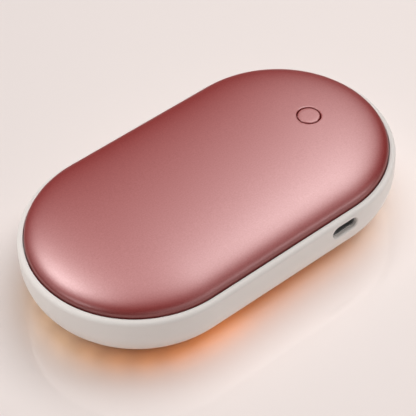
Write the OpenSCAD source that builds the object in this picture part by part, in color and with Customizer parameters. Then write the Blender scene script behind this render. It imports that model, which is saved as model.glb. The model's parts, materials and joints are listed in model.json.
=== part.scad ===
// Rechargeable hand warmer, built round its two cells.
// Two metal heating shells are seated in a moulded ring that carries the cells and the board.
// +X is the button end, -Y the side with the charging inlet, +Z is up.
// The origin is the middle of the face that it rests on.

/* [Cells] */
// Diameter of a cell
cell_d = 18.4; // [16.4:0.1:20.4]
// Length of a cell without its cap
cell_l = 64.4; // [56:0.2:72]
// Height of the cap at the cell's positive end
cap_h = 0.8; // [0.5:0.1:1]
// Diameter of the cap
cap_d = 6; // [5:0.2:7]
// Gap between the two cells
cell_gap = 0.3; // [0.2:0.1:0.6]
// Gap between the cells and the upper carrier
cell_top_gap = 0.35; // [0.3:0.05:0.8]
// Spare room behind the cells, at the plain end of the body
spare_room = 0.05; // [0:0.05:4]
// Room between the cells and the board
board_gap = 1.75; // [1.6:0.05:2.5]
// Thickness of the nickel strips
strip_t = 0.2; // [0.1:0.05:0.3]
// Width of the nickel strips
strip_w = 8; // [7:0.5:9]
// Diameter of a battery lead
battery_lead_d = 1.3; // [1:0.1:1.5]

/* [Frame] */
// Width of the frame's upper lip, seen from above
lip_w = 1.7; // [1.6:0.1:2]
// Rounding of the lip's outer edge
lip_r = 1.5; // [1:0.1:1.5]
// Height of the frame's upright stretch
band_h = 3.7; // [3.2:0.1:4.2]
// Distance that the wall curves in, down to the lower rim
undercut = 6.5; // [5.8:0.1:7.2]
// Width of the frame's lower rim
rim_w = 0.6; // [0.4:0.1:0.8]
// Wall thickness of the frame
frame_t = 2.0; // [1.8:0.1:2.2]
// Thickness of the frame's upper and lower shelves
shelf_t = 1.5; // [1.2:0.1:1.8]
// Diameter of the frame's screw bosses
boss_d = 5.0; // [4.4:0.1:5.5]
// Distance from the inlet to the side boss next to it
boss_clear = 3.9; // [2.9:0.1:7.9]
// Thickness of the ribs and webs inside the frame
rib_t = 1.2; // [1:0.1:1.4]

/* [Shells] */
// Rise of the upper shell above its seam
dome_rise = 5.2; // [4.8:0.1:6.2]
// Radius of the upper shell's shoulder
shoulder_r = 4.6; // [4.2:0.1:5]
// Lean of the upper shell's side at the seam, in degrees
shoulder_lean = 8; // [4:1:12]
// Radius of the lower shell's shoulder
foot_r = 3.6; // [2.8:0.1:4]
// Sheet thickness of both shells
shell_t = 1.0; // [0.8:0.1:1.2]
// Width of the shadow gap between a shell and the frame
seam_gap = 0.35; // [0.25:0.05:0.45]
// Depth of the upper shell's skirt below the seam
skirt_h = 1.9; // [1.7:0.1:2.6]
// Depth of the lower shell's skirt inside the frame
foot_skirt_h = 1.4; // [1.2:0.1:1.7]
// Width of the tabs by which the carriers clamp the shells
tab_w = 6; // [5:0.5:7]
// Thickness of these tabs
tab_t = 0.7; // [0.6:0.05:0.8]
// Reach of these tabs inside the shells
tab_l = 1.6; // [1.4:0.1:1.8]

/* [Heaters] */
// Thickness of a film heater
heater_t = 0.3; // [0.2:0.05:0.4]
// Distance from the body's side to the upper film's edge
heater_inset = 12.2; // [11.2:0.1:15.7]
// Distance from the body's side to the lower film's edge
foot_heater_inset = 14.7; // [13.9:0.1:17.1]
// Height between the upper film and its carrier in the middle
pad_room = 1.4; // [1.2:0.05:1.6]
// Width of the upper foam pad
pad_w = 24; // [20:1:30]
// Gap between the upper foam pad and the button's collar
pad_gap = 3.2; // [2.2:0.1:8.2]
// Thickness of the lower foam pad
foot_pad_t = 0.8; // [0.6:0.05:1]
// Thickness of the carriers' plates
plate_t = 1.0; // [0.8:0.05:1.2]
// Thickness of the carriers' flanges
flange_t = 1.6; // [1.3:0.1:1.8]
// Thickness of the carriers' upright webs
web_t = 1.0; // [0.9:0.1:1.2]
// Diameter of a heater lead
lead_d = 1.0; // [0.6:0.1:1.2]
// Diameter of a thermistor's bead
bead_d = 1.4; // [1.2:0.1:1.6]

/* [Inlet] */
// Outer width of the socket's metal shell
socket_w = 8.94; // [8.3:0.02:9.4]
// Outer height of the socket's metal shell
socket_h = 3.26; // [3.1:0.02:3.5]
// Length of the socket's metal shell
socket_l = 7.3; // [6.8:0.1:8]
// Sheet thickness of the socket's metal shell
socket_t = 0.3; // [0.2:0.05:0.35]
// Gap at each side between the opening and the metal shell
inlet_side = 0.08; // [0.04:0.01:0.33]
// Gap above and below the metal shell
inlet_room = 0.32; // [0.17:0.01:0.47]
// Wall left between the opening and the seam's slot
inlet_roof = 0.25; // [0.2:0.05:0.4]
// Chamfer round the opening
inlet_edge = 0.35; // [0.2:0.05:0.5]
// Depth of the socket's mouth behind the wall's face
inlet_recess = 1.1; // [0.8:0.1:1.5]
// Distance from the opening back to the board's inner edge
inlet_shift = 1.4; // [1.2:0.1:3]
// Width of the socket's tongue
tongue_w = 6.7; // [6.2:0.1:7]
// Thickness of the socket's tongue
tongue_t = 0.7; // [0.6:0.05:0.8]

/* [Button] */
// Diameter of the button
button_d = 6.8; // [6:0.1:7.4]
// Gap round the button
button_gap = 0.2; // [0.15:0.05:0.3]
// Travel of the button
button_travel = 0.4; // [0.2:0.05:0.45]
// Chamfer on the button and on its hole
button_edge = 0.2; // [0.1:0.05:0.3]
// Width of the collar that keeps the button in
collar_w = 0.9; // [0.6:0.1:1.1]
// Thickness of the collar
collar_t = 0.7; // [0.5:0.1:0.8]
// Diameter of the button's stem
stem_d = 4.0; // [3:0.1:4.4]
// Side of the switch body
switch_w = 6.0; // [5.2:0.1:6.5]
// Height of the switch body
switch_h = 3.5; // [3.2:0.1:4]
// Diameter of the plunger
plunger_d = 3.5; // [3:0.1:3.8]
// Height that the plunger stands out of the switch
plunger_h = 2.2; // [1.8:0.1:2.6]

/* [Board] */
// Thickness of the board
board_t = 1.2; // [1:0.1:1.6]
// Width of the board
board_w = 33; // [31:0.5:35]
// Margin between the outermost parts and the board's short edges
board_edge = 1.2; // [1:0.1:1.4]
// Length of the arm's shoulder along the board
arm_w = 6; // [5.5:0.1:6.6]
// Width of the connectors
connector_w = 4; // [3.6:0.1:4.4]
// Height of the connectors
connector_h = 3.2; // [2.9:0.1:3.5]
// Side of the inductor
inductor_w = 7; // [6.4:0.1:7.5]
// Height of the inductor
inductor_h = 3; // [2.7:0.1:3.3]
// Diameter of the board's posts
post_d = 4.4; // [4:0.1:4.8]

/* [Chassis] */
// Thickness of the chassis floor
floor_t = 1.6; // [1.4:0.1:1.8]
// Thickness left under a cell
cell_web = 0.8; // [0.6:0.05:0.9]
// Thickness of the saddles and side walls
saddle_t = 1.4; // [1:0.1:1.6]
// Height of the saddles above the chassis floor
saddle_h = 4.6; // [3.2:0.1:6.2]
// Distance of the outer saddles from the cells' ends
saddle_inset = 14; // [13:0.5:16]

/* [Screws] */
// Diameter of the screws
screw_d = 2.0; // [1.6:0.1:2.2]
// Diameter of the screw heads
head_d = 3.6; // [3.2:0.1:3.9]
// Height of the screw heads
head_h = 1.2; // [0.9:0.1:1.3]
// Length of the frame's screws
screw_l = 6.5; // [5:0.5:8]
// Length of the board's and the chassis's screws
short_screw_l = 4.6; // [4.2:0.1:5]

/* [Hidden] */
$fn = 96;

// Clearances: a bonded face, a close fit, a loose fit, and a length that passes every wall
hair = 0.02;
slack = 0.1;
fit = 0.3;
far = 200;

// Widths, from the cells out to the side of the body
cell_r = cell_d / 2;
cell_y = (cell_d + cell_gap) / 2;
chassis_y = cell_y + cell_r + slack + saddle_t;
chassis_r = chassis_y + 0.25;
foot_web_r = chassis_r + fit + web_t;
foot_boss_r = foot_web_r + 0.2 + head_d / 2;
foot_flange_r = foot_boss_r + head_d / 2;
foot_shell_r = foot_flange_r + seam_gap + shell_t;
mouth_r = foot_shell_r + seam_gap;
out_r = mouth_r + rim_w + undercut;
seam_r = out_r - lip_w;
shell_r = seam_r - seam_gap;
flange_r = shell_r - shell_t - seam_gap;
boss_r = flange_r - 0.5 - head_d / 2;
web_r = boss_r - 0.4 - head_d / 2;
heater_r = out_r - heater_inset;
foot_heater_r = out_r - foot_heater_inset;

// Heights of the lower stack, up to the frame's mouth
foot_pad_z = shell_t + heater_t + 2 * hair;
foot_plate_z = foot_pad_z + foot_pad_t;
floor_z = foot_plate_z + plate_t;
shoulder_inner_r = foot_r - shell_t;
shoulder_inner_z = foot_r - sqrt(pow(shoulder_inner_r, 2) - pow(shoulder_inner_r - seam_gap, 2));
foot_flange_z = shoulder_inner_z + 0.5 + head_h;
foot_shelf_z = foot_flange_z + flange_t;
mouth_z = foot_shelf_z - foot_skirt_h;

// Heights of the cells and of the upper stack
cell_z = floor_z + cell_web + slack + cell_r;
plate_z = cell_z + cell_r + cell_top_gap;
plate_top = plate_z + plate_t;
top_z = plate_top + pad_room + heater_t + shell_t;
seam_h = top_z - dome_rise;
shelf_z = seam_h - skirt_h;

// Inlet and board heights
inlet_w = socket_w + 2 * inlet_side;
inlet_h = socket_h + 2 * inlet_room;
inlet_z = shelf_z - inlet_roof - inlet_h / 2;
board_top = inlet_z - socket_h / 2;
board_z = board_top - board_t;
plunger_in = 1;
plunger_top = board_top + switch_h + plunger_h;

// Room behind the cells: their ends just pass inside the lower carrier's web
corner_y = cell_y + sqrt(cell_r * cell_r - pow(cell_z - foot_shelf_z, 2));
corner_x = sqrt(pow(foot_web_r - web_t - slack, 2) - corner_y * corner_y);
end_room = out_r - corner_x + spare_room;

// Lengths along the body, summed from the plain end to the button end
switch_foot = 1.1;
plug_gap = 1.8;
tail_l = 3.85;
pack_l = 5;
connector_room = board_edge + connector_w + 1.3;
switch_room = switch_w / 2 + switch_foot;
board_l = connector_room + 2 * switch_room + plug_gap + connector_w + tail_l;
body_l = end_room + cell_l + cap_h + board_gap + board_l + fit + boss_d / 2 + out_r - boss_r;
half = body_l / 2 - out_r;
cell_x0 = end_room - body_l / 2;
cell_x1 = cell_x0 + cell_l + cap_h;
board_x0 = cell_x1 + board_gap;
board_x1 = board_x0 + board_l;
battery_plug_x = board_x0 + board_edge + connector_w / 2;
button_x = board_x0 + connector_room + switch_room;
heater_plug_x = button_x + switch_room + plug_gap + connector_w / 2;
pack_x = board_x1 - 0.35 - pack_l / 2;
inlet_x = board_x0 - inlet_shift - inlet_w / 2;
arm_x0 = inlet_x - inlet_w / 2 - 0.95;
boss_x = inlet_x - inlet_w / 2 - boss_clear - boss_d / 2;

// Places on the board
board_y = board_w / 2;
chip_x = button_x - 1;
chip_y = 8 - board_y;
inductor_x = button_x - 1.7;
inductor_y = board_y - inductor_w / 2 - 3.5;
post_near = [board_x0 + 3, board_y - 4];
post_far = [inductor_x + inductor_w / 2 + 0.4 + head_d / 2, 7.5];
board_posts = [
    post_near, [post_near[0], -post_near[1]], post_far, [post_far[0], -post_far[1]]
];
lead_y = 1.5;
foot_lead_x = heater_plug_x - 2.2;
socket_y = out_r - inlet_recess;

// Section of the upper shell: a wide crown arc that runs tangentially into the shoulder arc
shoulder_x = shell_r - shoulder_r * cos(shoulder_lean);
shoulder_z = seam_h - shoulder_r * sin(shoulder_lean);
shoulder_drop = top_z - shoulder_z;
crown_r = (shoulder_x * shoulder_x + shoulder_drop * shoulder_drop - shoulder_r * shoulder_r)
    / (2 * (shoulder_drop - shoulder_r));
crown_z = top_z - crown_r;
tangent_slope = shoulder_x / (crown_r - shoulder_r);

// Section of the frame: the undercut's arc starts upright and ends at the lower rim
belly_z = seam_h - lip_r - band_h;
belly_drop = belly_z - mouth_z;
belly_r = (undercut * undercut + belly_drop * belly_drop) / (2 * undercut);
belly_x = out_r - belly_r;

// Section through the button
button_r = button_x - half;
button_hole_d = button_d + 2 * button_gap;
button_tilt = asin(button_r / crown_r);
collar_r = button_d / 2 + collar_w;
collar_top = dome_z(button_r + collar_r, shell_t) - fit;
collar_z = collar_top - collar_t;
button_well_r = collar_r + 4 * slack;
button_well_z = collar_z - button_travel - fit;

// Pad and thermistors
pad_end = button_x - collar_r - pad_gap;
bead_x = pad_end + fit + bead_d / 2;
bead_y = 8;
foot_bead_y = 6.5;
bead_lead_d = 0.5;

// Leads of the cells: they lie in the valley on top of the cells, and clear the board
valley_z = cell_z + sqrt(pow(cell_r + battery_lead_d / 2 + slack, 2) - cell_y * cell_y);
lead_z = max(valley_z, board_top + battery_lead_d / 2 + slack);
positive_lead_y = 2.4;
strip_reach = cell_y + strip_w / 2;

// Screw places
top_bosses = boss_places(boss_r);
foot_bosses = boss_places(foot_boss_r);
boss_h = screw_l - flange_t + 5;
foot_boss_h = screw_l - flange_t + 0.7;
chassis_bosses = [
    [cell_x0 + 6, 0], [cell_x1 - 9, 0], [button_x, 10.5], [button_x, -10.5]
];
chassis_boss_h = short_screw_l - plate_t + 0.4;
pilot_d = screw_d + slack;
screw_hole_d = screw_d + 4 * slack;

function boss_places(r) = [
    [boss_x, r], [-boss_x, r], [boss_x, -r], [-boss_x, -r], [half + r, 0], [-half - r, 0]
];
// Height of the upper dome's crown, t below its surface, at distance r from the middle line
function dome_z(r, t) = crown_z + sqrt(pow(crown_r - t, 2) - r * r);

// Flat stadium of end radius r, its ends centred at +reach and -reach
module stadium2d(r, reach = half) {
    square([2 * reach, 2 * r], center = true);
    for (side = [-1, 1])
        translate([side * reach, 0])
            circle(r);
}

module stadium(r, z0, z1) {
    translate([0, 0, z0])
        linear_extrude(z1 - z0)
            stadium2d(r);
}

// Carries a section (distance outward, height) round the stadium: two straights and two half turns
module sweep() {
    rotate([90, 0, 90])
        linear_extrude(2 * half, center = true) {
            children();
            mirror([1, 0])
                children();
        }
    for (side = [-1, 1])
        translate([side * half, 0, 0])
            rotate([0, 0, -90 * side])
                rotate_extrude(angle = 180)
                    children();
}

// Turns a child that points outward along +X to both long sides, at each x
module on_sides(x_places) {
    for (x = x_places, side = [-1, 1])
        translate([x, 0, 0])
            rotate([0, 0, 90 * side])
                children();
}

// Turns such a child round both end centres, at each angle from the middle line
module on_ends(turns) {
    for (end = [0, 180], turn = turns)
        rotate([0, 0, end])
            translate([half, 0, 0])
                rotate([0, 0, turn])
                    children();
}

// Rectangle between two corners of a section
module block2d(r0, z0, r1, z1) {
    translate([r0, z0])
        square([r1 - r0, z1 - z0]);
}

// Block from r0 to r1 outward and z0 to z1 up, w wide
module block(r0, z0, r1, z1, w) {
    translate([r0, -w / 2, z0])
        cube([r1 - r0, w, z1 - z0]);
}

// Upright cylinder at a place, from z0 to z1
module post(place, z0, z1, d) {
    translate([place[0], place[1], z0])
        cylinder(h = z1 - z0, d = d);
}

// Region under the upper dome, t inside its surface, down to height z0
module dome2d(t, z0) {
    edge_x = (crown_r - t) * tangent_slope;
    reach = shoulder_r - t;
    side_x = shoulder_x + sqrt(reach * reach - pow(seam_h - shoulder_z, 2));
    intersection() {
        translate([0, crown_z])
            circle(crown_r - t, $fn = 2160);
        block2d(0, z0, edge_x, top_z + 1);
    }
    intersection() {
        translate([shoulder_x, shoulder_z])
            circle(reach);
        block2d(edge_x, seam_h, shell_r + 1, top_z + 1);
    }
    if (z0 < seam_h)
        block2d(edge_x, z0, side_x, seam_h);
}

// Region inside the lower shell's outline, t inside its surface, up to height z1
module foot2d(t, z1) {
    block2d(0, t, foot_shell_r - foot_r, z1);
    intersection() {
        translate([foot_shell_r - foot_r, foot_r])
            circle(foot_r - t);
        block2d(foot_shell_r - foot_r, 0, foot_shell_r, foot_r);
    }
    block2d(foot_shell_r - foot_r, foot_r, foot_shell_r - t, z1);
}

// Screw that points down from the underside of its crossed head
module pan_screw(length) {
    difference() {
        cylinder(h = head_h, d = head_d);
        for (turn = [0, 90])
            rotate([0, 0, turn])
                translate([-head_d / 3, -0.25, head_h / 2])
                    cube([head_d / 1.5, 0.5, head_h]);
    }
    translate([0, 0, -length])
        cylinder(h = length + hair, d = screw_d);
}

// Obround of width w and height h, centred on the Y axis, from y0 to y1
module obround(w, h, y0, y1) {
    translate([0, y1, 0])
        rotate([90, 0, 0])
            linear_extrude(y1 - y0)
                stadium2d(h / 2, (w - h) / 2);
}

// Places of the shells' tabs, clear of the screws and the inlet
module at_tabs() {
    on_sides([0])
        children();
    on_ends([-45, 45])
        children();
}

// Deep-drawn dome whose skirt ends in tabs that the carrier clamps
module top_shell() {
    color([0.78, 0.50, 0.49])
        difference() {
            union() {
                sweep()
                    difference() {
                        dome2d(0, shelf_z);
                        dome2d(shell_t, shelf_z - 1);
                    }
                at_tabs()
                    block(shell_r - shell_t - tab_l, shelf_z, shell_r - shell_t / 2,
                        shelf_z + tab_t, tab_w);
            }
            post([button_x, 0], shelf_z, far, button_hole_d);
            button_hole_rim();
        }
}

// Cone that chamfers the rim of the hole, square to the dome's surface there
module button_hole_rim() {
    rim_d = button_hole_d + 2 * button_edge;
    depth = 3 * button_edge;
    at_button_top()
        translate([0, 0, -depth])
            cylinder(h = 2 * depth, d1 = rim_d - 2 * depth, d2 = rim_d + 2 * depth);
}

// Frame on the dome's surface at the button, tilted to the surface's slope
module at_button_top() {
    translate([button_x, 0, dome_z(button_r, 0)])
        rotate([0, button_tilt, 0])
            children();
}

// Cap with a collar that holds it under the shell and a stem that meets the switch
module power_button() {
    color([0.78, 0.50, 0.49]) {
        intersection() {
            post([button_x, 0], collar_z, far, button_d);
            at_button_top()
                button_cap_envelope();
        }
        post([button_x, 0], collar_z, collar_top, 2 * collar_r);
        post([button_x, 0], plunger_top + slack, collar_z + hair, stem_d);
    }
}

// Crowned top with a chamfered edge, its middle at the local origin
module button_cap_envelope() {
    depth = 6;
    rim_d = button_d - 2 * button_edge;
    intersection() {
        translate([0, 0, -crown_r])
            sphere(crown_r, $fn = 720);
        translate([0, 0, -depth])
            cylinder(h = depth, d1 = rim_d + 2 * depth, d2 = rim_d);
    }
}

// Room for the button's collar through film, pad and plate
module button_well() {
    post([button_x, 0], button_well_z, far, 2 * button_well_r);
}

// Film bonded to the inside of the dome
module top_heater() {
    color([0.72, 0.45, 0.12])
        difference() {
            sweep()
                intersection() {
                    difference() {
                        dome2d(shell_t + hair, plate_top);
                        dome2d(shell_t + hair + heater_t, plate_top - 1);
                    }
                    block2d(0, plate_top, heater_r, top_z);
                }
            button_well();
        }
}

// Flat strip that presses on the middle of the film
module top_pad() {
    pad_top = dome_z(pad_w / 2, shell_t + heater_t) - 2 * hair;
    color([0.25, 0.25, 0.27])
        translate([0, 0, plate_top])
            linear_extrude(pad_top - plate_top)
                stadium2d(pad_w / 2, pad_end - pad_w / 2);
}

// Holes for the upper leads and the upper thermistor
module top_passages(z0) {
    for (side = [-1, 1])
        post([heater_plug_x, side * lead_y], z0, far, lead_d + 2 * slack);
    post([bead_x, -bead_y], z0, far, bead_d + 4 * slack);
}

// Tray under the upper film: its flange clamps the shell's tabs and is screwed to the frame
module top_carrier() {
    color([0.16, 0.16, 0.17])
        difference() {
            sweep() {
                block2d(0, plate_z, web_r, plate_top);
                block2d(web_r - web_t, shelf_z, web_r, plate_top);
                block2d(web_r - web_t, shelf_z, flange_r, shelf_z + flange_t);
            }
            at_tabs()
                block(shell_r - shell_t - tab_l - fit, shelf_z - 1, flange_r + 1,
                    shelf_z + tab_t + slack, tab_w + 2 * fit);
            for (place = top_bosses)
                post(place, shelf_z - 1, shelf_z + flange_t + 1, screw_hole_d);
            post([button_x, 0], plate_z - 1, far, stem_d + 6 * slack);
            button_well();
            top_passages(plate_z - 1);
        }
}

module top_screws() {
    color([0.6, 0.6, 0.62])
        for (place = top_bosses)
            translate([place[0], place[1], shelf_z + flange_t])
                pan_screw(screw_l);
}

// Bead under the upper film, with two leads to the board
module top_thermistor() {
    bead_reach = norm([max(bead_x - half, 0), bead_y]) + bead_d / 2;
    bead_top = dome_z(bead_reach, shell_t + heater_t) - slack;
    color([0.1, 0.1, 0.1]) {
        post([bead_x, -bead_y], plate_top, bead_top, bead_d);
        bead_leads(-bead_y, board_top, plate_top + hair);
    }
}

module bead_leads(y, z0, z1) {
    for (side = [-1, 1])
        post([bead_x + side * bead_d / 3.5, y], z0, z1, bead_lead_d);
}

module top_heater_leads() {
    lead_top = dome_z(heater_plug_x + lead_d - half, shell_t + heater_t) - slack;
    color([0.7, 0.1, 0.1])
        for (side = [-1, 1])
            post([heater_plug_x, side * lead_y], board_top + connector_h - 1, lead_top, lead_d);
}

// Outer face of the frame, filled in to the undercut's centre line
module frame_outer2d() {
    block2d(belly_x, belly_z, out_r, seam_h - lip_r);
    block2d(belly_x, seam_h - lip_r, out_r - lip_r, seam_h);
    intersection() {
        translate([out_r - lip_r, seam_h - lip_r])
            circle(lip_r);
        block2d(out_r - lip_r, seam_h - lip_r, out_r, seam_h);
    }
    intersection() {
        translate([belly_x, belly_z])
            circle(belly_r, $fn = 360);
        block2d(belly_x, mouth_z, out_r, belly_z);
    }
}

// Space inside the frame's wall
module frame_inner2d() {
    block2d(0, belly_z, out_r - frame_t, seam_h + 1);
    block2d(0, shelf_z, seam_r, seam_h + 1);
    block2d(0, mouth_z - 1, mouth_r, foot_shelf_z);
    intersection() {
        translate([belly_x, belly_z])
            circle(belly_r - frame_t, $fn = 360);
        block2d(belly_x, mouth_z - 1, out_r, belly_z);
    }
}

// Ring section with the shelf that each shell and carrier sits on
module frame_ring2d() {
    difference() {
        frame_outer2d();
        frame_inner2d();
    }
    block2d(flange_r - 1.2, shelf_z - shelf_t, out_r - frame_t / 2, shelf_z);
    block2d(foot_flange_r - 1, foot_shelf_z, mouth_r + frame_t / 2, foot_shelf_z + shelf_t);
}

// Upright rib between the shelves that follows the wall's curve
module frame_rib() {
    wall_r = out_r - frame_t / 2;
    rotate([90, 0, 0])
        linear_extrude(rib_t, center = true)
            difference() {
                polygon([
                    [wall_r, shelf_z - hair], [flange_r - 0.8, shelf_z - hair],
                    [foot_flange_r - 0.6, foot_shelf_z + hair], [wall_r, foot_shelf_z + hair]
                ]);
                difference() {
                    block2d(belly_x, mouth_z, out_r + 1, belly_z);
                    translate([belly_x, belly_z])
                        circle(belly_r - frame_t / 2, $fn = 360);
                }
            }
}

// Bosses for both carriers; the upper ones hang on the wall by a web
module frame_bosses() {
    for (place = top_bosses)
        post(place, shelf_z - boss_h, shelf_z, boss_d);
    on_sides([boss_x, -boss_x])
        boss_web();
    on_ends([0])
        boss_web();
    for (place = foot_bosses)
        post(place, foot_shelf_z, foot_shelf_z + foot_boss_h, boss_d);
}

module boss_web() {
    block(boss_r, shelf_z - boss_h / 2, out_r - frame_t / 2, shelf_z, rib_t);
}

module frame_pilots() {
    for (place = top_bosses)
        post(place, shelf_z + flange_t - screw_l - 1, shelf_z + 1, pilot_d);
    for (place = foot_bosses)
        post(place, foot_shelf_z - 1, foot_flange_z + screw_l + fit, pilot_d);
}

// Moulded ring: curved-under wall, two shelves, screw bosses on webs, ribs, ledge and inlet
module mid_frame() {
    color([0.86, 0.85, 0.84])
        difference() {
            union() {
                sweep()
                    frame_ring2d();
                frame_bosses();
                on_sides([0, 4 - half])
                    frame_rib();
                on_ends([-60, -15, 15, 60])
                    frame_rib();
                board_ledge();
            }
            frame_pilots();
            inlet_opening();
            socket_relief();
        }
}

// Ledge on the wall that carries the board's arm against the push of a plug
module board_ledge() {
    ledge_w = socket_w - 2;
    ledge_h = 2.5;
    translate([inlet_x - ledge_w / 2, frame_t / 2 - out_r, board_z - ledge_h])
        cube([ledge_w, 3.2, ledge_h]);
}

// Obround through the wall with a chamfered rim
module inlet_opening() {
    end = (inlet_w - inlet_h) / 2;
    side_h = inlet_h / 2;
    translate([inlet_x, 0, inlet_z]) {
        obround(inlet_w, inlet_h, -out_r - 1, shell_t - shell_r + fit);
        for (side = [-1, 1])
            translate([side * end, inlet_edge - out_r, 0])
                rotate([90, 0, 0])
                    cylinder(h = 2 * inlet_edge, r1 = side_h, r2 = side_h + 2 * inlet_edge);
        translate([-end, inlet_edge - out_r, 0])
            rotate([90, 0, 90])
                linear_extrude(2 * end)
                    polygon([
                        [0, -side_h], [0, side_h],
                        [-2 * inlet_edge, side_h + 2 * inlet_edge],
                        [-2 * inlet_edge, -side_h - 2 * inlet_edge]
                    ]);
    }
}

// Notch through the upper shelf behind the wall, where the socket passes
module socket_relief() {
    relief_w = inlet_w + 2 * fit;
    translate([inlet_x - relief_w / 2, shell_t - shell_r, board_top + fit])
        cube([relief_w, shell_r - flange_r + 2, shelf_z - board_top + 1]);
}

module usb_shell() {
    color([0.7, 0.7, 0.72])
        translate([inlet_x, 0, inlet_z])
            difference() {
                obround(socket_w, socket_h, -socket_y, -socket_y + socket_l);
                obround(socket_w - 2 * socket_t, socket_h - 2 * socket_t,
                    -socket_y - 1, -socket_y + socket_l + 1);
            }
}

// Moulded insert: a block that fills the shell's back and the tongue that the plug slides over
module usb_tongue() {
    back_l = 1.8;
    setback = 1;
    color([0.12, 0.12, 0.13])
        translate([inlet_x, 0, inlet_z]) {
            obround(socket_w - 2 * socket_t - slack, socket_h - 2 * socket_t - slack,
                -socket_y + socket_l - back_l, -socket_y + socket_l);
            translate([-tongue_w / 2, -socket_y + setback, -tongue_t / 2])
                cube([tongue_w, socket_l - back_l - setback + hair, tongue_t]);
        }
}

// Board with an arm that reaches round the cells to the inlet, trimmed to the wall's curve
module main_board() {
    arm_inner_y = cell_y + cell_r + slack + fit;
    color([0.05, 0.35, 0.18])
        difference() {
            translate([0, 0, board_z])
                linear_extrude(board_t)
                    intersection() {
                        union() {
                            block2d(board_x0, -board_y, board_x1, board_y);
                            block2d(arm_x0, -out_r, board_x0 + arm_w, -arm_inner_y);
                            block2d(board_x0, -out_r, board_x0 + arm_w, 0);
                        }
                        stadium2d(out_r - frame_t - 2 * fit);
                    }
            for (place = board_posts)
                post(place, board_z - 1, board_top + 1, screw_hole_d);
        }
}

// Case with a bore for the plunger, on four feet
module tact_switch() {
    bore = plunger_in + button_travel + slack;
    foot_w = 0.7;
    color([0.1, 0.1, 0.11])
        translate([button_x, 0, board_top]) {
            difference() {
                translate([-switch_w / 2, -switch_w / 2, 0])
                    cube([switch_w, switch_w, switch_h]);
                translate([0, 0, switch_h - bore])
                    cylinder(h = far, d = plunger_d + 2 * slack);
            }
            for (row = [-0.35, 0.35])
                translate([-switch_room, row * switch_w - foot_w / 2, 0])
                    cube([2 * switch_room, foot_w, 0.2]);
        }
}

module switch_plunger() {
    color([0.85, 0.83, 0.78])
        post([button_x, 0], plunger_top - plunger_h - plunger_in, plunger_top, plunger_d);
}

// Box standing on the board, by its middle
module board_box(x, y, size) {
    translate([x - size[0] / 2, y - size[1] / 2, board_top])
        cube(size);
}

// Body with a row of soldered leads on each side
module charger_chip() {
    chip_w = 5;
    pitch = 1.2;
    color([0.08, 0.08, 0.09]) {
        board_box(chip_x, chip_y, [chip_w, chip_w - 1, 0.9]);
        for (i = [-1.5:1.5])
            board_box(chip_x + i * pitch, chip_y, [0.45, chip_w, 0.25]);
    }
}

// Round ferrite drum on a square base
module inductor() {
    base_h = 0.6;
    rim_h = 0.5;
    drum_h = inductor_h - base_h;
    drum_r = inductor_w / 2 - 0.2;
    color([0.3, 0.3, 0.32]) {
        board_box(inductor_x, inductor_y, [inductor_w, inductor_w, base_h]);
        translate([inductor_x, inductor_y, board_top + base_h - hair])
            rotate_extrude()
                polygon([
                    [0, 0], [drum_r, 0], [drum_r, rim_h], [drum_r - 0.5, rim_h + 0.3],
                    [drum_r - 0.5, drum_h - rim_h - 0.3], [drum_r, drum_h - rim_h],
                    [drum_r, drum_h], [0, drum_h]
                ]);
    }
}

// Power transistors: a body, a cooling tab and three leads each
module heater_switches() {
    case_w = 4;
    case_l = pack_l - 2;
    pitch = 1.3;
    color([0.08, 0.08, 0.09])
        for (side = [-1, 1])
            translate([pack_x, side * (board_y - 8), 0]) {
                board_box(0, 0, [case_l, case_w, 1.5]);
                board_box(1, 0, [case_l, case_w - 1, 0.4]);
                for (i = [-1:1])
                    board_box(-1, i * pitch, [case_l, 0.6, 0.3]);
            }
}

// Chips with a raised cap at each end, in a row along the board's edge
module capacitors() {
    size = [3.2, 2.4, 1.7];
    end_l = 0.6;
    color([0.6, 0.48, 0.32])
        for (i = [-1:1])
            translate([button_x + 0.5 + i * (size[0] + 0.8), 2.5 - board_y, 0]) {
                board_box(0, 0, size);
                for (side = [-1, 1])
                    board_box(side * (size[0] - end_l) / 2, 0, [end_l, size[1] + 0.1, size[2] + 0.1]);
            }
}

module resistors() {
    chip_l = 1.6;
    color([0.1, 0.1, 0.1])
        for (i = [0:1], side = [-1, 1])
            board_box(board_x0 + board_edge + chip_l / 2 + i * (chip_l + 0.8), side * 5.2,
                [chip_l, chip_l / 2, 0.5]);
}

// Housing that the two battery leads enter from the cells' side
module battery_connector() {
    color([0.93, 0.92, 0.88])
        difference() {
            board_box(battery_plug_x, positive_lead_y / 2, [connector_w, 5.6, connector_h]);
            for (y = [0, positive_lead_y])
                battery_lead(board_x0, battery_plug_x, y, battery_lead_d + 2 * slack);
        }
}

// Housing that the two upper heater leads enter from above
module heater_connector() {
    color([0.93, 0.92, 0.88])
        difference() {
            board_box(heater_plug_x, 0, [connector_w, 8, connector_h]);
            for (side = [-1, 1])
                post([heater_plug_x, side * lead_y], board_top + connector_h - 1.5, far,
                    lead_d + 2 * slack);
        }
}

module board_screws() {
    color([0.6, 0.6, 0.62])
        for (place = board_posts)
            translate([place[0], place[1], board_top])
                pan_screw(short_screw_l);
}

// Room of the two cells, a little larger than they are
module cell_room() {
    for (side = [-1, 1])
        translate([cell_x0 - fit - strip_t, side * cell_y, cell_z])
            rotate([0, 90, 0])
                cylinder(h = cell_x1 - cell_x0 + 2 * fit + strip_t, r = cell_r + slack);
}

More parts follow.
